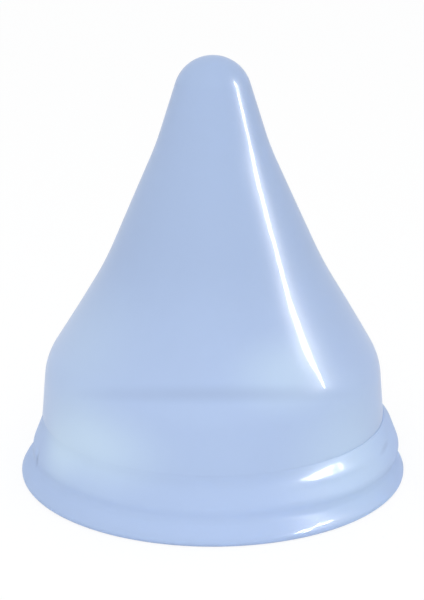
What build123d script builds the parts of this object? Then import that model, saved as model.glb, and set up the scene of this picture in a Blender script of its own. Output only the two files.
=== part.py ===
from build123d import *

import os
from math import acos, atan2, cos, hypot, radians, sin, tan

# A closed, pointed cone shell with a soft flared skirt, standing on its wide end.
# Both pieces are turned bodies on the Z axis, and Z = 0 is the face that the rim rests on.
# Profiles are drawn with X as the radius and Y as the height, and revolved about Z.
# Lengths are in millimetres and angles in degrees.

# Rigid cone shell, outside: three slopes between collar and tip, blended where they would cross
overall_height = 94.0
tip_radius = 8.4  # of the closed, rounded tip
neck_drop = 19.5  # how far below the top of the tip
neck_diameter = 24.6
neck_blend = 60.0
waist_height = 48.0
waist_diameter = 48.0
waist_blend = 80.0
shoulder_height = 26.4
shoulder_blend = 13.8
collar_diameter = 76.2  # level with the top edge of the skirt
collar_draft = 5.0  # slope of the collar's side, from vertical
shell_wall = 1.6

# Tongue below the collar, which the skirt is stretched over
tongue_thickness = 0.8
tongue_length = 3.0
catch_depth = 0.35  # how far the catch stands out of the tongue
catch_length = 1.0

# Soft skirt
skirt_height = 13.8
skirt_wall = 1.8
skirt_flare = 4.9  # how far the rim reaches out past the collar, to 86 mm across
flare_drop = 1.5  # below the skirt's top edge, where it starts to leave the collar's line
flare_blend = 6.0
bulge_height = 6.8  # under this the wall stands upright on the rim
bulge_blend = 7.0
rim_thickness = 2.0  # its outer edge is a full round
rim_ledge = 1.6  # flat on top of the rim, between the wall and the round edge
rim_blend_radius = 1.2  # hollow rounding where the wall meets the ledge

# Fit between tongue and skirt
lap_clearance = 0.1

# Derived
collar_radius = collar_diameter / 2
rim_radius = collar_radius + skirt_flare
rim_round = rim_thickness / 2
draft = radians(collar_draft)
tongue_bottom = skirt_height - tongue_length


def collar_line(height, inset=0.0):
    """Point at this height on the collar's side, or on a line that lies inset within its wall."""
    radius = collar_radius + (skirt_height - height) * tan(draft) - inset / cos(draft)
    return (radius, height)


def below(height):
    """Everything in the profile plane under this height."""
    size = 2 * overall_height
    return Pos(0, height - size / 2) * Rectangle(size, size)


def cone_outline():
    """Outside line of the shell, from below the collar up to the tip on the axis."""
    neck_point = (neck_diameter / 2, overall_height - neck_drop)
    tip_centre = overall_height - tip_radius
    drop = tip_centre - neck_point[1]
    tip_angle = acos(tip_radius / hypot(neck_point[0], drop)) - atan2(drop, neck_point[0])
    tip_foot = (tip_radius * cos(tip_angle), tip_centre + tip_radius * sin(tip_angle))
    side = FilletPolyline(
        collar_line(tongue_bottom),
        collar_line(shoulder_height),
        (waist_diameter / 2, waist_height),
        neck_point,
        tip_foot,
        radius=(shoulder_blend, waist_blend, neck_blend),
    )
    tip = TangentArc(tip_foot, (0, overall_height), tangent=side % 1)
    return Curve() + [side, tip]


def tongue_profile(clearance=0.0, back=shell_wall):
    """Tongue with its sloped catch. With a clearance, it is the space that the skirt leaves free."""
    front = shell_wall - tongue_thickness - clearance
    bottom = tongue_bottom - clearance
    catch_top = tongue_bottom + catch_length + clearance
    points = [
        collar_line(skirt_height, back),
        collar_line(bottom, back),
        collar_line(bottom, front),
        collar_line(catch_top, front - catch_depth),
        collar_line(catch_top, front),
        collar_line(skirt_height, front),
    ]
    return make_face(Polyline(*points, close=True))


def cone_shell():
    """Closed tip, hollow-sided cone, rounded shoulder and drafted collar, with the tongue below."""
    wall = make_face(offset(cone_outline(), amount=shell_wall, side=Side.LEFT))
    profile = wall - below(skirt_height) + tongue_profile()
    return revolve(Plane.XZ * profile, Axis.Z)


def skirt_outline(foot_radius):
    """Outside line of the skirt: down the collar, out along the flare, then upright to the rim."""
    return FilletPolyline(
        collar_line(shoulder_height),
        collar_line(skirt_height - flare_drop),
        (foot_radius, bulge_height),
        (foot_radius, rim_thickness),
        radius=(flare_blend, bulge_blend),
    )


def rim_profile(inner_radius):
    """Flat underside, a full round outer edge, and a ledge on top where the wall stands."""
    round_centre = (rim_radius - rim_round, rim_round)
    bar = Polyline(
        (round_centre[0], rim_thickness),
        (inner_radius, rim_thickness),
        (inner_radius, 0),
        (round_centre[0], 0),
    )
    edge = CenterArc(round_centre, rim_round, -90, 180)
    return make_face(Curve() + [bar, edge])


def skirt():
    """Soft ring: a cuff round the tongue, a bulging flare, and the rim it stands on."""
    foot_radius = rim_radius - rim_round - rim_ledge
    outline = skirt_outline(foot_radius)
    wall = make_face(offset(outline, amount=skirt_wall, side=Side.RIGHT))
    profile = (wall & below(skirt_height)) + rim_profile(foot_radius - skirt_wall)
    corner = profile.vertices().sort_by_distance((foot_radius, rim_thickness, 0)).first
    tongue_space = tongue_profile(lap_clearance, back=shell_wall + skirt_wall)
    profile = fillet(corner, rim_blend_radius) - tongue_space
    return revolve(Plane.XZ * profile, Axis.Z)


os.makedirs("parts", exist_ok=True)
export_step(cone_shell(), "parts/cone_shell.step")
export_step(skirt(), "parts/skirt.step")
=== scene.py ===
from math import acos, atan2, cos, exp, hypot, pi, radians, sin, tan

import bmesh
import bpy
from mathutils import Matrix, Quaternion, Vector, noise


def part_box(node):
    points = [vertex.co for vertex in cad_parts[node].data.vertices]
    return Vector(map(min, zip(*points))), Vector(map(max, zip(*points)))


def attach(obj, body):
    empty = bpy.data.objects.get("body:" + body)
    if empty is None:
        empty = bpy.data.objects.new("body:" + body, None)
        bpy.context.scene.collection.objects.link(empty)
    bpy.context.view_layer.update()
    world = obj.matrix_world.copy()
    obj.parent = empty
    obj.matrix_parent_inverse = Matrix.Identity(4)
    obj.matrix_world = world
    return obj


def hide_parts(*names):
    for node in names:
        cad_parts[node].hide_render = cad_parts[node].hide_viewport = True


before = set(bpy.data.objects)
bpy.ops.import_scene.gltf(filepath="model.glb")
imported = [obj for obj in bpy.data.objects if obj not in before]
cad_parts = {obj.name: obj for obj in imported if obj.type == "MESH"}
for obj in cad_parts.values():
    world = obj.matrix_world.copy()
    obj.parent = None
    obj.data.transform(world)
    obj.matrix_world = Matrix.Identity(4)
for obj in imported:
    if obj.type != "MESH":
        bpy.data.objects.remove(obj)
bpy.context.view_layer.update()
coneLow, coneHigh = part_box("cone_shell")
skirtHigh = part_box("skirt")[1]
mm = 0.001  # pieces are drawn in millimetres and scaled when they are finished
axis = (0, 0, 1)
mergeReach = 0.002  # in millimetres, joins the points that a turn leaves on the axis
sharpAngle = radians(35)  # edges that turn further than this are drawn sharp
noiseMiddle = 0.5
print("frame loaded")


def spanAngle(before, after):
    return pi - before.angle(after)


def smoothStep(low, high, value):
    share = min(max((value - low) / (high - low), 0), 1)
    return share * share * (3 - 2 * share)


def drawSection(mesh, corners, arcStep, closed=False):
    # corners are (radius, height, blend) in turn; the blends are drawn by spinning a vertex
    points = [Vector((radius, 0, level)) for radius, level, blend in corners]
    first = last = None
    for i, here in enumerate(points):
        blend = corners[i][2]
        if blend:
            before = (points[i - 1] - here).normalized()
            after = (points[(i + 1) % len(points)] - here).normalized()
            turn = spanAngle(before, after)
            start = mesh.verts.new(here + before * blend * tan(turn / 2))
            centre = here + (before + after).normalized() * blend / cos(turn / 2)
            arc = bmesh.ops.spin(
                mesh,
                geom=[start],
                cent=centre,
                axis=after.cross(before),
                angle=turn,
                steps=max(2, round(turn / arcStep)),
            )
            end = [v for v in arc["geom_last"] if isinstance(v, bmesh.types.BMVert)][0]
        else:
            start = end = mesh.verts.new(here)
        if last:
            mesh.edges.new((last, start))
        first = first or start
        last = end
    if closed:
        mesh.edges.new((last, first))


def cutLongEdges(mesh, longest):
    for edge in mesh.edges[:]:
        cuts = int(edge.calc_length() / longest)
        if cuts:
            bmesh.ops.subdivide_edges(mesh, edges=[edge], cuts=cuts)


def turnSection(mesh, steps):
    bmesh.ops.spin(
        mesh,
        geom=mesh.verts[:] + mesh.edges[:],
        cent=(0, 0, 0),
        axis=axis,
        angle=2 * pi,
        steps=steps,
        use_merge=True,
    )
    bmesh.ops.remove_doubles(mesh, verts=mesh.verts[:], dist=mergeReach)
    bmesh.ops.recalc_face_normals(mesh, faces=mesh.faces[:])


def finishPiece(mesh, name, node, finish):
    bmesh.ops.scale(mesh, vec=(mm, mm, mm), verts=mesh.verts[:])
    for face in mesh.faces:
        face.smooth = True
    for edge in mesh.edges:
        edge.smooth = edge.calc_face_angle(0) < sharpAngle
    data = bpy.data.meshes.new(name)
    mesh.to_mesh(data)
    mesh.free()
    data.materials.append(finish)
    piece = bpy.data.objects.new(name, data)
    bpy.context.scene.collection.objects.link(piece)
    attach(piece, "root")
    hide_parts(node)
    print(name, "made,", len(data.polygons), "faces")


class Signal:
    # a socket that takes part in sums
    def __init__(self, finish, socket):
        self.finish = finish
        self.socket = socket

    def math(self, operation, first, second):
        return self.finish.add("ShaderNodeMath", {"operation": operation}, {0: first, 1: second})

    def __add__(self, other):
        return self.math("ADD", self, other)

    def __radd__(self, other):
        return self.math("ADD", other, self)

    def __sub__(self, other):
        return self.math("SUBTRACT", self, other)

    def __rsub__(self, other):
        return self.math("SUBTRACT", other, self)

    def __mul__(self, other):
        return self.math("MULTIPLY", self, other)

    def __rmul__(self, other):
        return self.math("MULTIPLY", other, self)


class Finish:
    # a material and the one way of adding a node to it
    def __init__(self, name, owner=None):
        self.owner = owner or bpy.data.materials.new(name)
        self.owner.use_nodes = True
        self.tree = self.owner.node_tree
        self.tree.nodes.clear()

    def add(self, kind, settings=None, inputs=None, output=0):
        node = self.tree.nodes.new(kind)
        for key, value in (settings or {}).items():
            setattr(node, key, value)
        for key, value in (inputs or {}).items():
            if isinstance(value, Signal):
                self.tree.links.new(value.socket, node.inputs[key])
            else:
                node.inputs[key].default_value = value
        return Signal(self, node.outputs[output]) if node.outputs else None

    def mixColours(self, factor, first, second):
        return self.add(
            "ShaderNodeMix", {"data_type": "RGBA"}, {0: factor, 6: first, 7: second}, output=2
        )

    def fade(self, value, start, end, most=1):
        # rises smoothly from 0 at start to most at end
        return self.add(
            "ShaderNodeMapRange",
            {"interpolation_type": "SMOOTHSTEP"},
            {"Value": value, "From Min": start, "From Max": end, "To Max": most},
        )


def tintedFinish(name, tint):
    finish = Finish(name)
    place = finish.add("ShaderNodeTexCoord", output="Object")
    upward = finish.add("ShaderNodeSeparateXYZ", None, {0: place}, output="Z")
    # painted light: paler towards the bottom, deeper towards the tip; the cloud and grain noise
    # add random tone on top
    paleness = finish.fade(upward, tint["deepFrom"] * mm, tint["paleFrom"] * mm)
    cloud, grain = (
        finish.add(
            "ShaderNodeTexNoise",
            None,
            {"Vector": place, "Scale": scale, "Detail": detail, "Roughness": roughness},
        )
        for scale, detail, roughness in (tint["cloudNoise"], tint["grainNoise"])
    )
    uneven = cloud - noiseMiddle
    paleness = paleness + uneven * tint["cloudStrength"]
    paleness = paleness + (grain - noiseMiddle) * tint["grainStrength"]
    colour = finish.mixColours(paleness, tint["deep"], tint["pale"])
    # paint the glow and shade patches over the colour, each fading out from its centre
    for centre, reach, angles, tone, strength in paintedGlowAndShade:
        inside = finish.add(
            "ShaderNodeMapping",
            {"vector_type": "TEXTURE"},
            {0: place, 1: Vector(centre) * mm, 2: angles, 3: Vector(reach) * mm},
        )
        away = finish.add(
            "ShaderNodeVectorMath", {"operation": "LENGTH"}, {0: inside}, output="Value"
        )
        colour = finish.mixColours(finish.fade(away, 1, 0, strength), colour, tint[tone])
    bump = finish.add(
        "ShaderNodeBump",
        None,
        {"Strength": tint["ripple"], "Distance": tint["rippleDepth"] * mm, "Height": cloud},
    )
    dulling, shining = (
        finish.fade(upward, start * mm, end * mm)
        for start, end in (tint["shineFades"], tint["shineReturns"])
    )
    body = finish.add(
        "ShaderNodeBsdfPrincipled",
        None,
        {
            "Base Color": colour,
            "Roughness": uneven * tint["roughnessSpread"] + tint["roughness"],
            "IOR": tint["ior"],
            "Specular IOR Level": tint["specular"],
            "Transmission Weight": tint["clearness"],
            "Coat Weight": (1 - dulling * shining) * tint["coat"],
            "Coat Roughness": tint["coatRoughness"],
            "Normal": bump,
        },
    )
    finish.add("ShaderNodeOutputMaterial", None, {"Surface": body})
    return finish.owner


cone = {
    "tipRadius": 8.4,
    "neckDrop": 19.5,  # below the top of the tip
    "neckRadius": 12.3,
    "neckBlend": 60.0,
    "waistHeight": 48.0,
    "waistRadius": 24.0,
    "waistBlend": 80.0,
    "shoulderHeight": 26.4,
    "shoulderBlend": 13.8,
    "collarDraft": radians(5),
    "wall": 1.6,
    "tongue": 0.8,
    "catch": 0.35,
    "catchLength": 1.0,
    "arcStep": radians(1.5),
    "longestEdge": 1.6,
    "steps": 192,
    "waveFrom": 0.1,  # radius within which nothing is waved
    "waveDepth": 0.05,
    "waveScale": 60.0,
    "bow": 0.35,  # how far the side leans to the right between the two levels
    "bowFoot": (22.0, 40.0),
    "bowTop": (75.0, 42.0),
}
swells = [  # turn from the front, level, reach in turn, reach in level, rise
    (radians(29.6), 44.0, radians(14), 14.0, 0.3),
    (radians(33.6), 74.0, radians(14), 7.0, -0.15),
    (radians(29.0), 34.0, radians(14), 4.0, 0.2),
]
clearPlastic = {
    "deep": (0.43, 0.55, 0.79, 1),
    "pale": (0.48, 0.61, 0.87, 1),
    # painted glow: the paler blue laid on where soft light is reflected
    "paintedGlow": (0.68, 0.85, 1.0, 1),
    # painted shade: the darker blue laid on where shade falls
    "shade": (0.33, 0.43, 0.64, 1),
    # levels of the painted light, deepest at the first and palest at the second
    "deepFrom": 60.0,
    "paleFrom": 20.0,
    "cloudNoise": (45.0, 3.0, 0.55),  # scale, detail, roughness
    "cloudStrength": 0.5,
    "grainNoise": (400.0, 2.0, 0.5),
    "grainStrength": 0.2,
    "roughness": 0.3,
    "roughnessSpread": 0.04,
    "ripple": 0.02,
    "rippleDepth": 1.0,
    "ior": 1.45,
    "specular": 0.05,
    "clearness": 0.15,
    "coat": 0.1,
    "coatRoughness": 0.03,
    "shineFades": (0.0, 0.1),  # levels between which the coat fades out, going up
    "shineReturns": (0.1, 0.0),  # back in full at the first level, starting at the second
}
paintedGlowAndShade = [  # painted glow and painted shade on both plastics: centre, reach each way, angles, tone, strength
    # painted glow: paler patches standing in for soft reflections on the left and right of the
    # collar and skirt, and for the glow round the foot of the long reflection
    ((-28, -28, 17), (26, 26, 13), (0, 0, 0), "paintedGlow", 0.65),
    ((-34, -21, 12), (11, 12, 9), (0, 0, 0), "paintedGlow", 0.5),
    ((30, -26, 13), (23, 23, 23), (0, 0, 0), "paintedGlow", 0.42),
    ((-28, -16, 34), (22, 22, 22), (0, 0, 0), "paintedGlow", 0.2),
    ((17, -33, 34), (17, 17, 11), (0, 0, 0), "paintedGlow", 0.48),
    # painted shade: a faint darker band across the front below the shoulder, and darker marks
    # along the crease on the right and in the dimple on the left
    ((1, -34, 30.4), (44, 30, 2.6), (radians(-20.9), 0, 0), "shade", 0.38),
    ((38.3, -15, 10.8), (8, 1.6, 1.1), (0, radians(-6), radians(72)), "shade", 0.9),
    ((-38.7, -11.4, 6.4), (1.6, 1.6, 2.6), (0, 0, 0), "shade", 0.7),
]
height = coneHigh.z / mm
collarRadius = coneHigh.x / mm
lapHeight = skirtHigh.z / mm
tongueFoot = coneLow.z / mm


def collarPoint(level, inset=0.0):
    # point on the collar's drafted side, or inset within its wall
    draft = cone["collarDraft"]
    return (collarRadius + (lapHeight - level) * tan(draft) - inset / cos(draft), level, 0)


def coneSide():
    # outside corners from the tip down to the lap, with the blend at each
    neck = (cone["neckRadius"], height - cone["neckDrop"])
    centre = height - cone["tipRadius"]
    drop = centre - neck[1]
    lean = acos(cone["tipRadius"] / hypot(neck[0], drop)) - atan2(drop, neck[0])
    tipCorner = cone["tipRadius"] * (1 - sin(lean)) / cos(lean)
    return [
        (0, height, 0),
        (tipCorner, height, cone["tipRadius"]),
        (neck[0], neck[1], cone["neckBlend"]),
        (cone["waistRadius"], cone["waistHeight"], cone["waistBlend"]),
        (*collarPoint(cone["shoulderHeight"])[:2], cone["shoulderBlend"]),
        collarPoint(lapHeight),
    ]


def innerSide(side, wall):
    # the same corners moved into the wall; hollow blends grow and round ones shrink
    inner = [(0, side[0][1] - wall, 0)]
    for before, here, after in zip(side, side[1:], side[2:]):
        runIn = Vector((here[0] - before[0], here[1] - before[1])).normalized()
        runOut = Vector((after[0] - here[0], after[1] - here[1])).normalized()
        sideways = Vector((runIn.y, -runIn.x)) + Vector((runOut.y, -runOut.x))
        shift = sideways * wall / (1 + runIn.dot(runOut))
        roundCorner = runIn.cross(runOut) < 0
        blend = here[2] - wall if roundCorner else here[2] + wall
        inner.append((here[0] + shift.x, here[1] + shift.y, blend))
    return inner


def makeCone():
    side = coneSide()
    lap = [
        collarPoint(lapHeight, cone["tongue"]),
        collarPoint(tongueFoot + cone["catchLength"], cone["tongue"]),
        collarPoint(tongueFoot + cone["catchLength"], cone["tongue"] - cone["catch"]),
        collarPoint(tongueFoot, cone["tongue"]),
        collarPoint(tongueFoot, cone["wall"]),
    ]
    corners = side + lap + innerSide(side, cone["wall"])[::-1]
    mesh = bmesh.new()
    drawSection(mesh, corners, cone["arcStep"])
    cutLongEdges(mesh, cone["longestEdge"])
    turnSection(mesh, cone["steps"])
    for vertex in mesh.verts:
        place = vertex.co.copy()
        outwards = Vector((place.x, place.y, 0))
        if outwards.length > cone["waveFrom"]:
            wave = noise.noise(place / cone["waveScale"])
            vertex.co += outwards.normalized() * wave * cone["waveDepth"]
            turn = atan2(place.x, -place.y)
            for swellTurn, level, turnReach, reach, rise in swells:
                away = ((turn - swellTurn) / turnReach) ** 2 + ((place.z - level) / reach) ** 2
                vertex.co += outwards.normalized() * rise * exp(-away)
        bow = smoothStep(*cone["bowFoot"], place.z) * smoothStep(*cone["bowTop"], place.z)
        vertex.co.x += cone["bow"] * bow
    finish = tintedFinish("clearTintedPlastic", clearPlastic)
    finishPiece(mesh, "coneShellSmooth", "cone_shell", finish)


skirt = {
    "wall": 1.8,
    "flareDrop": 1.5,  # below the top edge
    "flareBlend": 6.0,
    "bulgeHeight": 6.8,
    "bulgeBlend": 4.0,
    "rimThickness": 2.0,
    "rimLedge": 1.6,
    "hollowHeight": 4.8,
    "hollowBlend": 3.3,
    "rimShoulder": (0.5, 1.9),  # in from the rim's edge, and its level
    "shoulderBlend": 2.4,
    "edgeBlend": 0.8,  # of half the rim's thickness
    "clearance": 0.1,
    "arcStep": radians(5),
    "longestEdge": 0.7,
    "steps": 360,
    "outside": (-0.7, 0.1),  # past the collar's radius, where the push sets in
    "bulge": 1.45,  # how far the right side is pushed out
    "bulgeTop": (14.6, 11.2),
    "bulgeFoot": (2.0, 7.5),
    "bulgeStart": (radians(17.4), radians(50.4)),
    "bulgeEnd": (radians(150), radians(105)),
    "liftHeight": 5.9,  # how far the rim curls up behind
    "liftInset": (2.5, 1.0),  # in from the foot's radius and from the rim's
    "liftLevels": (12, 3),
    "liftFrom": radians(12),
    "liftTo": radians(28),
    "liftFade": radians(50),
    "liftEnd": radians(95),
    "wrinkleStart": (-0.026, 0.827),  # shares of a wrinkle's length
    "wrinkleEnd": (1.1, 0.8),
}
wrinkles = [  # start and end as (turn from the front, level), width, height
    ((radians(19.4), 10.4), (radians(54.1), 10.94), 0.675, 0.269),
    ((radians(60), 9.8), (radians(79), 11.8), 0.5, -0.25),
    ((radians(-71), 4.8), (radians(-76), 8.4), 0.6, -0.35),
]
softRubber = dict(
    clearPlastic,
    roughness=0.35,
    specular=0.0,
    shineFades=(2.2, 2.6),
    shineReturns=(5.5, 4.5),
)
rimRadius = skirtHigh.x / mm


def nearness(turn, level, start, end, width):
    # 1 on the line from start to end, falling to 0 a few widths away and at both ends
    arm = Vector(((end[0] - start[0]) * collarRadius, end[1] - start[1]))
    here = Vector(((turn - start[0]) * collarRadius, level - start[1]))
    along = here.dot(arm) / arm.length
    across = here.cross(arm) / arm.length
    share = along / arm.length
    ends = smoothStep(*skirt["wrinkleStart"], share) * smoothStep(*skirt["wrinkleEnd"], share)
    return exp(-((across / width) ** 2)) * ends


def distortSkirt(vertex, footRadius):
    # the soft ring is pushed out on one side, wrinkled there, and its rim curls up behind
    place = vertex.co
    radius = hypot(place.x, place.y)
    turn = atan2(place.x, -place.y)  # 0 at the front, growing to the right
    behind = turn - pi / 2
    outer = smoothStep(*(collarRadius + past for past in skirt["outside"]), radius)
    push = skirt["bulge"] * smoothStep(*skirt["bulgeTop"], place.z)
    push *= smoothStep(*skirt["bulgeFoot"], place.z)
    push *= smoothStep(*skirt["bulgeStart"], turn) * smoothStep(*skirt["bulgeEnd"], turn)
    for start, end, width, depth in wrinkles:
        push += depth * nearness(turn, place.z, start, end, width)
    lift = smoothStep(skirt["liftFrom"], skirt["liftTo"], behind)
    lift *= smoothStep(skirt["liftEnd"], skirt["liftFade"], behind)
    footInset, rimInset = skirt["liftInset"]
    spread = smoothStep(footRadius - footInset, rimRadius - rimInset, radius)
    lift *= spread * smoothStep(*skirt["liftLevels"], place.z)
    out = Vector((place.x, place.y, 0)).normalized()
    vertex.co += out * push * outer
    vertex.co.z += lift * skirt["liftHeight"]


def makeSkirt():
    rimRound = skirt["rimThickness"] / 2
    footRadius = rimRadius - rimRound - skirt["rimLedge"]
    gap = skirt["clearance"]
    front = cone["tongue"] - gap
    foot = tongueFoot - gap
    catchTop = tongueFoot + cone["catchLength"] + gap
    flareTop = collarPoint(lapHeight - skirt["flareDrop"])
    outer = [
        collarPoint(lapHeight),
        (*flareTop[:2], skirt["flareBlend"]),
        (footRadius, skirt["bulgeHeight"], skirt["bulgeBlend"]),
        (footRadius, skirt["hollowHeight"], skirt["hollowBlend"]),
        (rimRadius - skirt["rimShoulder"][0], skirt["rimShoulder"][1], skirt["shoulderBlend"]),
        (rimRadius, rimRound, 0),
        (rimRadius, 0, rimRound * skirt["edgeBlend"]),
    ]
    flare = Vector((footRadius - flareTop[0], skirt["bulgeHeight"] - flareTop[1])).normalized()
    lean = atan2(flare.x, -flare.y)
    innerRadius = footRadius - skirt["wall"]
    innerBulge = skirt["bulgeHeight"] - skirt["wall"] * tan(lean / 2)
    innerTop = innerRadius - (foot - innerBulge) * tan(lean)
    inner = [
        (innerRadius, 0, 0),
        (innerRadius, innerBulge, skirt["bulgeBlend"] - skirt["wall"]),
        (innerTop, foot, 0),
        collarPoint(foot, front),
        collarPoint(catchTop, front - cone["catch"]),
        collarPoint(catchTop, front),
        collarPoint(lapHeight, front),
    ]
    mesh = bmesh.new()
    drawSection(mesh, outer + inner, skirt["arcStep"], closed=True)
    cutLongEdges(mesh, skirt["longestEdge"])
    turnSection(mesh, skirt["steps"])
    for vertex in mesh.verts:
        distortSkirt(vertex, footRadius)
    finish = tintedFinish("softTintedRubber", softRubber)
    finishPiece(mesh, "skirtSoft", "skirt", finish)


makeCone()
makeSkirt()


white = (1, 1, 1, 1)
studio = {
    "floorSize": 6.0,
    "floorDrop": 0.00002,  # a hair below the rim's underside
    "worldStrength": 0.86,
    "floorColour": (0.86, 0.87, 0.88, 1),
    "floorGlow": 0.8,
    "glowStrength": 1.04,
}
view = {
    "lens": 117.1,
    "sensor": 36.0,
    "clipStart": 0.01,
    "place": (-0.00018, -0.4084, 0.17412),
    "target": (-0.00018, 0, 0.03955),
}
softboxes = {  # soft light, kept out of the gloss
    "frontSoftbox": {
        "place": (-0.03, -0.5, 0.5),
        "target": (0, 0, 0.04),
        "size": (0.4, 0.4),
        "power": 1.2,
    },
}
strips = {  # seen in the gloss only
    "coneStrip": {
        "place": (0.19, -0.033, 0.161),
        "target": (0, -0.033, 0.161),
        "size": (0.021, 0.138),
        "power": 1.25,
    },
    "skirtGlint": {
        "place": (0.1535, -0.0988, 0.0857),
        "target": (0.0236, -0.0318, 0.012),
        "size": (0.108, 0.0169),
        "power": 0.8,
        "turn": radians(10.3),
    },
}


def seenDirectly(finish):
    # 1 where a ray from the camera, a gloss or a clear wall arrives
    rays = ("Is Camera Ray", "Is Glossy Ray", "Is Transmission Ray")
    camera, glossy, through = (finish.add("ShaderNodeLightPath", output=ray) for ray in rays)
    return camera + glossy + through


def makeFloor():
    mesh = bmesh.new()
    bmesh.ops.create_grid(mesh, x_segments=1, y_segments=1, size=studio["floorSize"] / 2)
    bmesh.ops.translate(mesh, vec=(0, 0, -studio["floorDrop"]), verts=mesh.verts[:])
    data = bpy.data.meshes.new("floor")
    mesh.to_mesh(data)
    mesh.free()
    floor = bpy.data.objects.new("floor", data)
    bpy.context.scene.collection.objects.link(floor)
    finish = Finish("paleFloor")
    matt = finish.add("ShaderNodeBsdfDiffuse", None, {"Color": studio["floorColour"]})
    glow = finish.add(
        "ShaderNodeEmission", None, {"Color": white, "Strength": studio["glowStrength"]}
    )
    share = seenDirectly(finish) * studio["floorGlow"]
    both = finish.add("ShaderNodeMixShader", None, {0: share, 1: matt, 2: glow})
    finish.add("ShaderNodeOutputMaterial", None, {"Surface": both})
    data.materials.append(finish.owner)


def makeWorld():
    world = bpy.data.worlds.new("studio")
    bpy.context.scene.world = world
    finish = Finish("studio", world)
    share = seenDirectly(finish)
    strength = share * (1 - studio["worldStrength"]) + studio["worldStrength"]
    light = finish.add("ShaderNodeBackground", None, {"Color": white, "Strength": strength})
    finish.add("ShaderNodeOutputWorld", None, {"Surface": light})


def areaLight(name, lamp, shape):
    data = bpy.data.lights.new(name, "AREA")
    data.shape = shape
    data.size, data.size_y = lamp["size"]
    data.energy = lamp["power"]
    light = bpy.data.objects.new(name, data)
    bpy.context.scene.collection.objects.link(light)
    aim = (Vector(lamp["target"]) - Vector(lamp["place"])).to_track_quat("-Z", "Y")
    light.location = lamp["place"]
    light.rotation_euler = (aim @ Quaternion(axis, lamp.get("turn", 0))).to_euler()
    light.visible_camera = False
    light.visible_transmission = False
    return light


def makeLights():
    for name, lamp in softboxes.items():
        areaLight(name, lamp, "RECTANGLE").visible_glossy = False
    lit = bpy.data.collections.new("litByGlint")
    lit.objects.link(bpy.data.objects["skirtSoft"])
    for name, lamp in strips.items():
        light = areaLight(name, lamp, "ELLIPSE")
        light.visible_diffuse = False
        if name.startswith("skirt"):
            light.light_linking.receiver_collection = lit


def makeCamera():
    data = bpy.data.cameras.new("camera")
    data.lens = view["lens"]
    data.sensor_width = view["sensor"]
    data.clip_start = view["clipStart"]
    camera = bpy.data.objects.new("camera", data)
    bpy.context.scene.collection.objects.link(camera)
    aim = Vector(view["target"]) - Vector(view["place"])
    camera.location = view["place"]
    camera.rotation_euler = aim.to_track_quat("-Z", "Y").to_euler()
    bpy.context.scene.camera = camera


makeFloor()
makeWorld()
print("floor and world made")
makeLights()
print("lights made")
makeCamera()
print("camera placed")
bpy.context.scene.view_settings.view_transform = "Standard"
